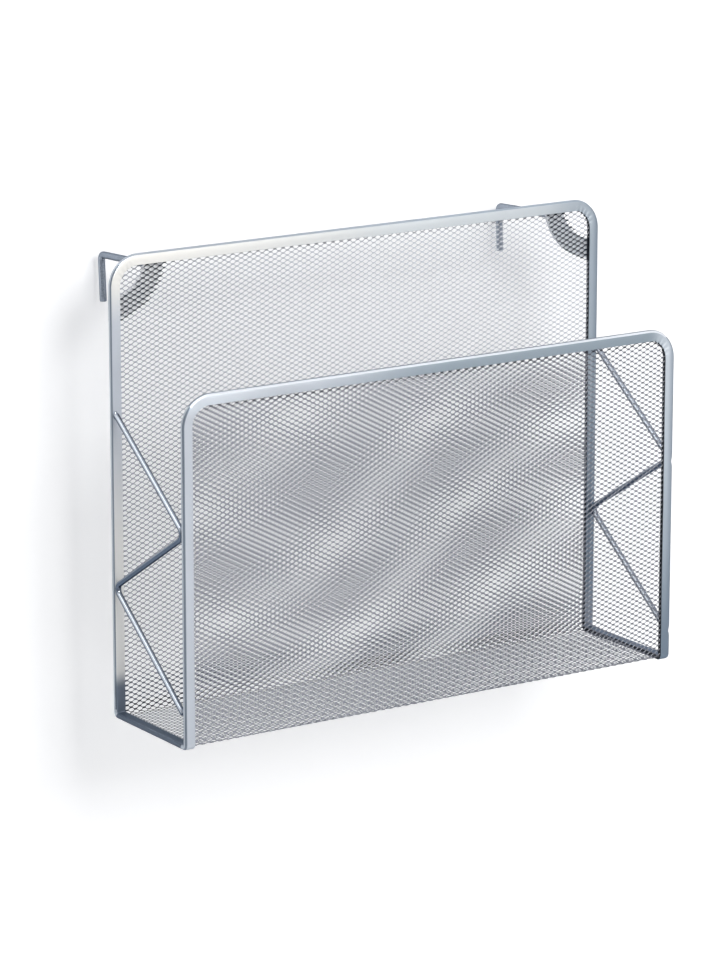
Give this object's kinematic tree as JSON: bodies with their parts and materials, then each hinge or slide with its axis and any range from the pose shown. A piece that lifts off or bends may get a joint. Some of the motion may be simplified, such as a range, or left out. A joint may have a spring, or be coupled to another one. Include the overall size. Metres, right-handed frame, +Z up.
{
  "type": "wall magazine holder",
  "caption": "Wall-hung magazine pocket of folded metal mesh in a flat rim, with zig-zag wire side braces and wire hooks on quarter-ring corner plates.",
  "frame": {"origin": "midway between the two hooks, level with the undersides of their arms halfway along them, where the holder hangs", "axes": "+X along the width to the holder's right as seen from the front, +Y back into the wall or panel, +Z up; the pocket's front faces -Y"},
  "size_m": [0.33, 0.1368, 0.262],
  "materials": {
    "rim": "Folded steel rim in silver-grey metallic paint, satin",
    "mesh": "Expanded steel mesh in silver-grey metallic paint, satin",
    "wire": "Steel wire in silver-grey metallic paint, satin",
    "plate": "Flat steel in silver-grey metallic paint, satin"
  },
  "bodies": {
    "root": {"back_net": "mesh", "front_net": "mesh", "bottom_net": "mesh", "back_rim": "rim", "front_rim": "rim", "left_bottom_rim": "rim", "left_brace": "wire", "left_corner_plate": "plate", "left_hook": "wire", "right_bottom_rim": "rim", "right_brace": "wire", "right_corner_plate": "plate", "right_hook": "wire"}
  },
  "joints": []
}
